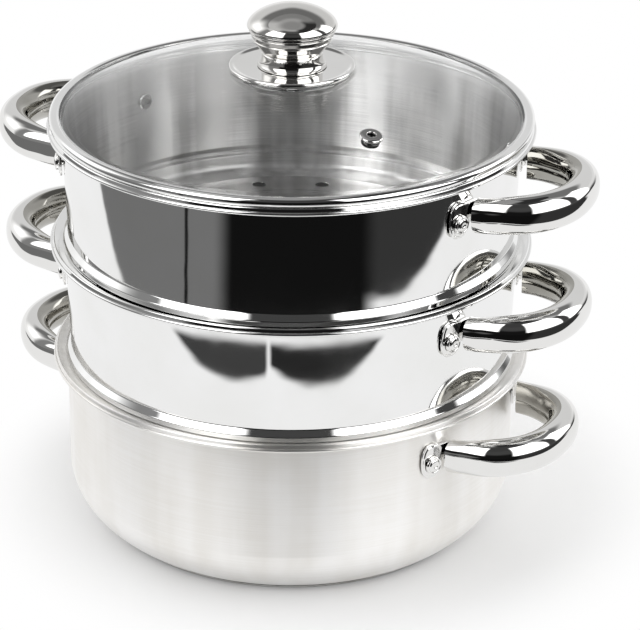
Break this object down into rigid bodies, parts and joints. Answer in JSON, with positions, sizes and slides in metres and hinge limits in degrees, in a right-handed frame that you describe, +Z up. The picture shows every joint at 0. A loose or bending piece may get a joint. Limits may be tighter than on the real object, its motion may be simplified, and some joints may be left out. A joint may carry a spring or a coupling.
{
  "type": "steamer pot",
  "caption": "Tiered stainless steel steamer pot: a deep pot with perforated tiers stacked in its rim, side loop handles and a domed glass lid with a steel knob.",
  "frame": {"origin": "on the surface that it stands on, under the middle of the pot", "axes": "+Z up; +X from the middle of the pot out through its right handle; +Y to the left of that, level"},
  "size_m": [0.3292, 0.254, 0.2853],
  "materials": {
    "satin_steel": "satin stainless steel with a fine horizontal brush",
    "polished_steel": "mirror polished stainless steel",
    "bright_handles": "bright mirror finish",
    "clear_glass": "clear tempered glass",
    "pale_rubber": "matt silicone"
  },
  "bodies": {
    "pot": {"pot_handle_right_tube": "bright_handles", "pot_handle_right_bracket_near": "bright_handles", "pot_handle_right_rivet_near": "bright_handles", "pot_handle_right_bracket_far": "bright_handles", "pot_handle_right_rivet_far": "bright_handles", "pot_handle_left_tube": "bright_handles", "pot_handle_left_bracket_near": "bright_handles", "pot_handle_left_rivet_near": "bright_handles", "pot_handle_left_bracket_far": "bright_handles", "pot_handle_left_rivet_far": "bright_handles", "pot_body": "satin_steel", "pot_base_disc": "satin_steel"},
    "steamer_lower": {"steamer_lower_handle_right_tube": "bright_handles", "steamer_lower_handle_right_bracket_near": "bright_handles", "steamer_lower_handle_right_rivet_near": "bright_handles", "steamer_lower_handle_right_bracket_far": "bright_handles", "steamer_lower_handle_right_rivet_far": "bright_handles", "steamer_lower_handle_left_tube": "bright_handles", "steamer_lower_handle_left_bracket_near": "bright_handles", "steamer_lower_handle_left_rivet_near": "bright_handles", "steamer_lower_handle_left_bracket_far": "bright_handles", "steamer_lower_handle_left_rivet_far": "bright_handles", "steamer_lower_body": "polished_steel"},
    "steamer_upper": {"steamer_upper_handle_right_tube": "bright_handles", "steamer_upper_handle_right_bracket_near": "bright_handles", "steamer_upper_handle_right_rivet_near": "bright_handles", "steamer_upper_handle_right_bracket_far": "bright_handles", "steamer_upper_handle_right_rivet_far": "bright_handles", "steamer_upper_handle_left_tube": "bright_handles", "steamer_upper_handle_left_bracket_near": "bright_handles", "steamer_upper_handle_left_rivet_near": "bright_handles", "steamer_upper_handle_left_bracket_far": "bright_handles", "steamer_upper_handle_left_rivet_far": "bright_handles", "steamer_upper_body": "polished_steel"},
    "lid": {"lid_glass": "clear_glass", "lid_rim_band": "polished_steel", "lid_vent_eyelet": "bright_handles", "lid_knob_disc": "bright_handles", "lid_knob_neck": "bright_handles", "lid_knob_cap": "bright_handles", "lid_knob_washer": "pale_rubber", "lid_knob_bolt": "polished_steel"}
  },
  "joints": [
    {"name": "steamer_lower_lift", "type": "slide", "parent": "pot", "child": "steamer_lower", "axis": [0, 0, 1], "range_m": [0, 0.08]},
    {"name": "steamer_upper_lift", "type": "slide", "parent": "steamer_lower", "child": "steamer_upper", "axis": [0, 0, 1], "range_m": [0, 0.08]},
    {"name": "lid_lift", "type": "slide", "parent": "steamer_upper", "child": "lid", "axis": [0, 0, 1], "range_m": [0, 0.08]}
  ]
}
